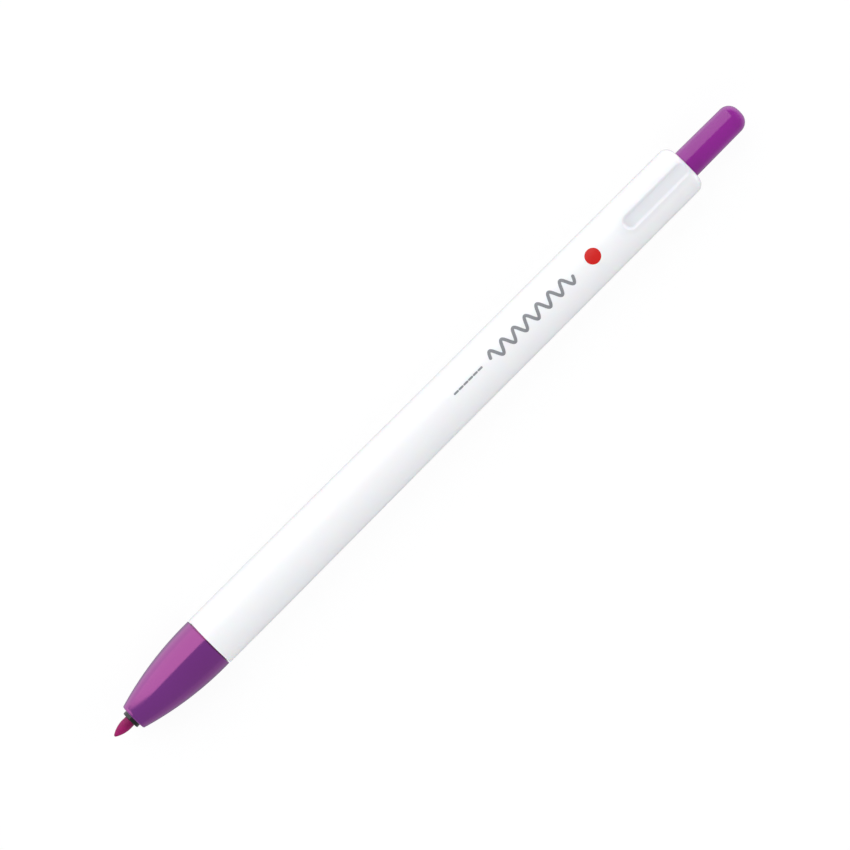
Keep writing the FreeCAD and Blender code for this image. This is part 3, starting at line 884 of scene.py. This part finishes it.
def add_softbox(name, zenith_angle, turn, size, radiance, colour):
    """A soft light that faces the pen, at an angle off the zenith. Turn 0 is the +Y side."""
    light = bpy.data.lights.new(name, "AREA")
    light.shape = "RECTANGLE"
    light.size, light.size_y = size
    light.energy = radiance * math.pi * light.size * light.size_y
    light.color = colour
    lamp = bpy.data.objects.new(name, light)
    away = Vector((
        math.sin(turn) * math.sin(zenith_angle),
        math.cos(turn) * math.sin(zenith_angle),
        math.cos(zenith_angle),
    ))
    lamp.location = away * LIGHT_DISTANCE
    lamp.rotation_mode = "QUATERNION"
    lamp.rotation_quaternion = away.to_track_quat("Z", "Y")
    bpy.context.scene.collection.objects.link(lamp)
    return lamp


def make_surroundings():
    """An even grey sky over a lower half that is brighter towards +Y and dim straight below."""
    world = bpy.data.worlds.new("studio")
    bpy.context.scene.world = world
    world.use_nodes = True
    tree = world.node_tree
    background = tree.nodes["Background"]
    background.inputs["Color"].default_value = (*COOL_WHITE, 1)
    where = add_node(tree, "ShaderNodeTexCoord")
    parts = add_node(tree, "ShaderNodeSeparateXYZ")
    tree.links.new(where.outputs["Generated"], parts.inputs["Vector"])
    along_y, along_z = parts.outputs["Y"], parts.outputs["Z"]
    above = map_range(tree, along_z, -HORIZON_BLUR, HORIZON_BLUR, 0.0, 1.0)
    by_side = map_range(tree, along_y, -1.0, 1.0, BELOW_DIM, BELOW_BRIGHT)
    by_depth = map_range(tree, along_z, -1.0, -BELOW_FADE, BELOW_STRAIGHT_DOWN, 1.0)
    below = add_node(tree, "ShaderNodeMath", operation="MULTIPLY")
    tree.links.new(by_side, below.inputs[0])
    tree.links.new(by_depth, below.inputs[1])
    level = add_node(tree, "ShaderNodeMix", data_type="FLOAT")
    tree.links.new(above, level.inputs["Factor"])
    tree.links.new(below.outputs[0], level.inputs["A"])
    level.inputs["B"].default_value = SKY
    tree.links.new(level.outputs["Result"], background.inputs["Strength"])


def make_lights():
    """A large softbox along the +Y side and two smaller fill lights past the pen's ends."""
    add_softbox("softbox", SOFTBOX_ANGLE, 0.0, SOFTBOX_SIZE, SOFTBOX_RADIANCE, (1, 1, 1))
    for turn in (-FILL_TURN, FILL_TURN):
        fill = add_softbox("fill", FILL_ANGLE, turn, FILL_SIZE, FILL_RADIANCE, COOL_WHITE)
        fill.visible_glossy = False


def make_camera():
    """The camera above the pen, a little to its +Y side, turned so that the pen runs up to the right."""
    data = bpy.data.cameras.new("camera")
    data.sensor_width = CAMERA_SENSOR
    data.lens = CAMERA_SENSOR * CAMERA_HEIGHT / VIEW_WIDTH
    data.clip_start, data.clip_end = 0.1, 20.0
    camera = bpy.data.objects.new("camera", data)
    away = Vector((0, math.sin(CAMERA_LEAN), math.cos(CAMERA_LEAN)))
    camera.location = AIM + away * CAMERA_HEIGHT
    camera.rotation_mode = "QUATERNION"
    lean = Quaternion((1, 0, 0), -CAMERA_LEAN)
    camera.rotation_quaternion = lean @ Quaternion((0, 0, 1), -AXIS_TURN)
    bpy.context.scene.collection.objects.link(camera)
    bpy.context.scene.camera = camera
    bpy.context.scene.view_settings.view_transform = "Standard"


make_camera()
make_barrel()
make_cone()
make_nib()
make_holder()
make_button()
make_spring()
make_print()
paint_nodes()
make_floor()
make_surroundings()
make_lights()
